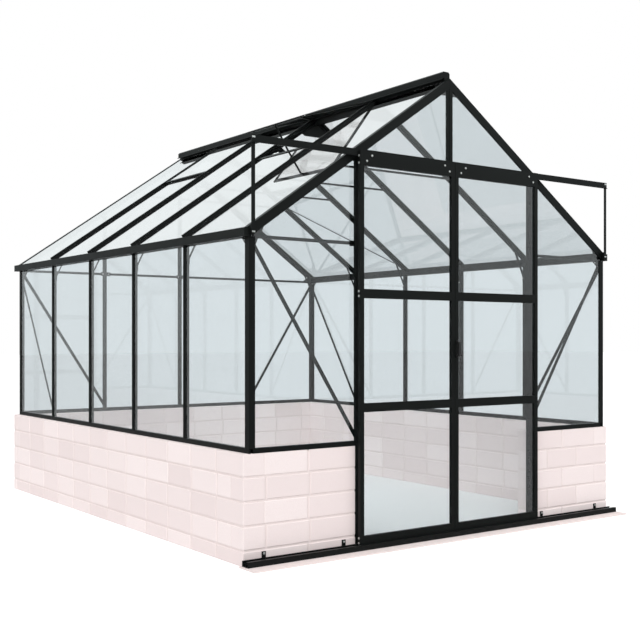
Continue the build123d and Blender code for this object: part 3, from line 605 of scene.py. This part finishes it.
def split_solids(mesh):
    """The vertices of every separate solid in a mesh."""
    bmesh.ops.remove_doubles(mesh, verts=mesh.verts, dist=1e-6)
    waiting = set(mesh.verts)
    groups = []
    while waiting:
        reached = [waiting.pop()]
        group = list(reached)
        while reached:
            vert = reached.pop()
            beside = {edge.other_vert(vert) for edge in vert.link_edges} & waiting
            waiting -= beside
            reached.extend(beside)
            group.extend(beside)
        groups.append(group)
    return groups


def corners_of(node, group):
    """Low and high corner of a group of vertices, as plain tuples."""
    axes = list(zip(*(node.matrix_world @ vert.co for vert in group)))
    return tuple(min(axis) for axis in axes), tuple(max(axis) for axis in axes)


def solids(name):
    """Low and high corner of every separate solid of a node, in a fixed order."""
    node = frame["nodes"][name]
    mesh = bmesh.new()
    mesh.from_mesh(node.data)
    boxes = [corners_of(node, group) for group in split_solids(mesh)]
    mesh.free()
    return [(Vector(low), Vector(high)) for low, high in sorted(boxes)]


print("the corner plates are", len(solids("corner_plates")), "solids")

# %% [markdown]
# ## Wall straps
# The CAD node has a diagonal strap at all four ends of the long walls. The end
# bay by the door on the left is clear, so this piece takes the other three.

# %% Straps of the long walls


def build_wall_straps():
    """The straps of side_braces without the one at the left front corner."""
    node = frame["nodes"]["side_braces"]
    mesh = bmesh.new()
    mesh.from_mesh(node.data)
    for group in split_solids(mesh):
        low, high = corners_of(node, group)
        if high[0] < 0 and low[1] < 0:
            bmesh.ops.delete(mesh, geom=group, context="VERTS")
    data = bpy.data.meshes.new("wall_straps")
    mesh.to_mesh(data)
    mesh.free()
    data.materials.append(coat)
    straps = bpy.data.objects.new("wall_straps", data)
    straps.matrix_world = node.matrix_world
    scene.collection.objects.link(straps)
    print("the straps have", len(data.polygons), "faces")
    return straps


wall_straps = build_wall_straps()
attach(wall_straps, "house")
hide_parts("side_braces")

# %% [markdown]
# ## Bolts of the frame
# Every bolt of the frame has its place on a plate, a cleat, a strap or a rail.

# %% Bolts of the door track
frame_spots = []
small_bolt, vent_screw = 0.8, 0.6
support_low, support_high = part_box("track_end_supports")
track_low, track_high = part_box("door_track_top")
support_steps = (0.006, 0.0145)
support_top_drop, support_foot_rise = 0.010, 0.012
top, foot = support_high.z - support_top_drop, support_low.z + support_foot_rise
for side in (-1, 1):
    for step in support_steps:
        across = side * (support_high.x - step)
        frame_spots.append(((across, support_low.y, top), "front"))
        frame_spots.append(((across, support_low.y, foot), "front", small_bolt))
bracket_leg, bracket_drop = 0.003, 0.010
web_step, web_drop = 0.006, 0.008
for low, high in solids("track_brackets"):
    middle_x = (low.x + high.x) / 2
    if high.z < wall_high.z:
        spot = (middle_x, high.y - bracket_leg, high.z - bracket_drop)
        frame_spots.append((spot, "front"))
    elif low.x < 0 < high.x:
        spot = (middle_x, track_low.y + web_step, track_high.z - web_drop)
        frame_spots.append((spot, "front"))
print(len(frame_spots), "bolts hold the tracks")

# %% Bolts of the plates and cleats


def side_of(low):
    """1 on the right half of the house and -1 on the left half."""
    return 1 if low.x > 0 else -1


def toward_middle(low, high):
    """Y and facing of the face of a gable piece that looks into the house."""
    return (high.y, "rear") if low.y < 0 else (low.y, "front")


gusset_steps = ((0.035, 0.037), (0.075, 0.0175))
half_plate_step, half_plate_rise = 0.030, 0.014
for low, high in solids("apex_gussets"):
    if low.x < 0 < high.x:
        for along, up in gusset_steps:
            for side in (-1, 1):
                frame_spots.append(((side * along, high.y, low.z + up), "rear"))
    else:
        inside, facing = toward_middle(low, high)
        spot = (side_of(low) * half_plate_step, inside, low.z + half_plate_rise)
        frame_spots.append((spot, facing))
leg_steps, leg_drop = (0.018, 0.045), 0.009
web_inset, web_rise = 0.041, 0.114
for low, high in solids("corner_plates"):
    side = side_of(low)
    if high.x - low.x < high.y - low.y:
        inner_x = low.x if side > 0 else high.x
        for step in leg_steps:
            along = low.y + step if low.y < 0 else high.y - step
            spot = (inner_x, along, high.z - leg_drop)
            frame_spots.append((spot, "left" if side > 0 else "right"))
    else:
        corner_x = high.x if side > 0 else low.x
        inside, facing = toward_middle(low, high)
        spot = (corner_x - side * web_inset, inside, low.z + web_rise)
        frame_spots.append((spot, facing))
cleat_step, corner_room = 0.020, 0.1
post_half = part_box("corner_posts")[1].x
for low, high in solids("gable_ties"):
    inside, facing = toward_middle(low, high)
    for along in (low.x + cleat_step, high.x - cleat_step):
        if abs(along) < post_half - corner_room:
            frame_spots.append(((along, inside, (low.z + high.z) / 2), facing))
print(len(frame_spots), "bolts with the plates and cleats")

# %% Bolts of the knee straps and vents
rafter_low, rafter_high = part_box("gable_rafters")
slope = math.atan2(rafter_high.z - rafter_low.z, rafter_high.x)
strap_thickness, strap_step = 0.003, 0.0135
for low, high in solids("knee_braces"):
    side = side_of(low)
    foot_x = (high.x if side > 0 else -low.x) - strap_thickness
    tip_x = (low.x if side > 0 else -high.x) + strap_step * math.cos(slope)
    tip_z = high.z - strap_thickness * math.cos(slope) - strap_step * math.sin(slope)
    middle_y = (low.y + high.y) / 2
    foot = (side * foot_x, middle_y, low.z + strap_step)
    tip = (side * tip_x, middle_y, tip_z)
    under = Vector((-side * math.sin(slope), 0, -math.cos(slope)))
    frame_spots.append((foot, "left" if side > 0 else "right", small_bolt))
    frame_spots.append((tip, under, small_bolt))
for low, high in solids("vent_end_rails"):
    middle = (low + high) / 2
    frame_spots.append(((middle.x, low.y, middle.z), "front", vent_screw))
    frame_spots.append(((middle.x, high.y, middle.z), "rear", vent_screw))
print(len(frame_spots), "bolts on the house in all")
bolt_set("frame_bolts", "house", frame_spots)

# %% [markdown]
# ## Camera
# The camera stands out from the front left corner, at chest height, and looks
# level, so that all uprights stay upright. Shifting the lens up, and not tilting
# the camera, keeps them so.

# %% Set the camera
focal_length = 57.47
lens_rise = 0.0291
standing_point = (-3.747, -5.466, 1.050)
level_look, heading = math.radians(90), math.radians(-35.87)
camera_data = bpy.data.cameras.new("camera")
camera_data.lens = focal_length
camera_data.shift_y = lens_rise
camera = bpy.data.objects.new("camera", camera_data)
camera.location = standing_point
camera.rotation_euler = (level_look, 0, heading)
scene.collection.objects.link(camera)
scene.camera = camera
print("camera at", tuple(round(c, 2) for c in camera.location))

# %% [markdown]
# ## Studio
# The floor and the sky are white to the camera and through glass, while the
# light that falls on the house stays at a plain level. The floor still takes a
# soft shadow, because only part of its brightness is its own. What metal and
# glass mirror is a cool sky that darkens towards the ground.

# %% Floor and sky
white = (1, 1, 1, 1)
floor_plain, floor_mirrored = (0.85, 0.85, 0.85, 1), (0.3, 0.3, 0.3, 1)
floor_glow = 0.3
sky_light = 0.62
sky_low, sky_high, sky_rise = 0.55, 1.0, 0.3
mirrored_sky = paint(243, 252, 253)


def white_floor():
    """Bright for the camera, and dark only where metal or glass mirrors it."""
    finish, tree, shader = new_finish("studio_floor")
    path = add(tree, "ShaderNodeLightPath")
    only_mirrored = add(
        tree,
        "ShaderNodeMath",
        links={0: path.outputs["Is Glossy Ray"], 1: path.outputs["Is Transmission Ray"]},
        operation="SUBTRACT",
        use_clamp=True,
    )
    colour = two_tone(tree, only_mirrored.outputs[0], floor_plain, floor_mirrored)
    tree.links.new(colour, shader.inputs["Base Color"])
    shader.inputs["Roughness"].default_value = 1.0
    shader.inputs["Specular IOR Level"].default_value = 0.0
    shader.inputs["Emission Color"].default_value = white
    glow = add(
        tree,
        "ShaderNodeMath",
        {1: floor_glow},
        {0: path.outputs["Is Camera Ray"]},
        operation="MULTIPLY",
    )
    tree.links.new(glow.outputs[0], shader.inputs["Emission Strength"])
    return finish


def studio_sky():
    """White where it shows, plain where it lights, and cool where it is mirrored."""
    world = bpy.data.worlds.new("studio_sky")
    world.use_nodes = True
    tree = world.node_tree
    lit = tree.nodes["Background"]
    lit.inputs["Color"].default_value = white
    lit.inputs["Strength"].default_value = sky_light
    shown = add(tree, "ShaderNodeBackground", {"Color": white, "Strength": 1.0})
    direction = add(tree, "ShaderNodeTexCoord")
    split = add(tree, "ShaderNodeSeparateXYZ", links={0: direction.outputs["Generated"]})
    rising = add(
        tree,
        "ShaderNodeMapRange",
        {"From Max": sky_rise, "To Min": sky_low, "To Max": sky_high},
        {"Value": split.outputs["Z"]},
    )
    mirrored = add(
        tree,
        "ShaderNodeBackground",
        {"Color": mirrored_sky},
        {"Strength": rising.outputs["Result"]},
    )
    path = add(tree, "ShaderNodeLightPath")
    seen = add(
        tree,
        "ShaderNodeMath",
        links={0: path.outputs["Is Camera Ray"], 1: path.outputs["Is Transmission Ray"]},
        operation="MAXIMUM",
    )
    first = add(tree, "ShaderNodeMixShader")
    tree.links.new(path.outputs["Is Glossy Ray"], first.inputs["Fac"])
    tree.links.new(lit.outputs[0], first.inputs[1])
    tree.links.new(mirrored.outputs[0], first.inputs[2])
    choose = add(tree, "ShaderNodeMixShader")
    tree.links.new(seen.outputs[0], choose.inputs["Fac"])
    tree.links.new(first.outputs[0], choose.inputs[1])
    tree.links.new(shown.outputs[0], choose.inputs[2])
    tree.links.new(choose.outputs[0], tree.nodes["World Output"].inputs["Surface"])
    return world


scene.world = studio_sky()
floor_half = 60.0
floor_mesh = bpy.data.meshes.new("studio_floor")
floor_corners = [(-floor_half, -floor_half, 0), (floor_half, -floor_half, 0)]
floor_corners += [(floor_half, floor_half, 0), (-floor_half, floor_half, 0)]
floor_mesh.from_pydata(floor_corners, [], [(0, 1, 2, 3)])
floor_mesh.materials.append(white_floor())
studio_floor = bpy.data.objects.new("studio_floor", floor_mesh)
scene.collection.objects.link(studio_floor)
print("floor and sky are white")

# %% [markdown]
# ## Lamps
# Two wide soft suns: a key from the front left, which lights the long side and
# the door gable alike, and a weak fill from the right.

# %% Add the lamps


def soft_sun(name, strength, spread, heading, height):
    """A sun that shines from a heading, in degrees from -Y towards +X."""
    data = bpy.data.lights.new(name, "SUN")
    data.energy = strength
    data.angle = math.radians(spread)
    lamp = bpy.data.objects.new(name, data)
    turn, rise = math.radians(heading), math.radians(height)
    flat = math.cos(rise)
    toward = Vector((math.sin(turn) * flat, -math.cos(turn) * flat, math.sin(rise)))
    lamp.rotation_euler = toward.to_track_quat("Z", "Y").to_euler()
    scene.collection.objects.link(lamp)
    return lamp


soft_sun("key_sun", strength=2.0, spread=40, heading=-48, height=42)
soft_sun("fill_sun", strength=0.4, spread=60, heading=40, height=50)
print("two soft suns")
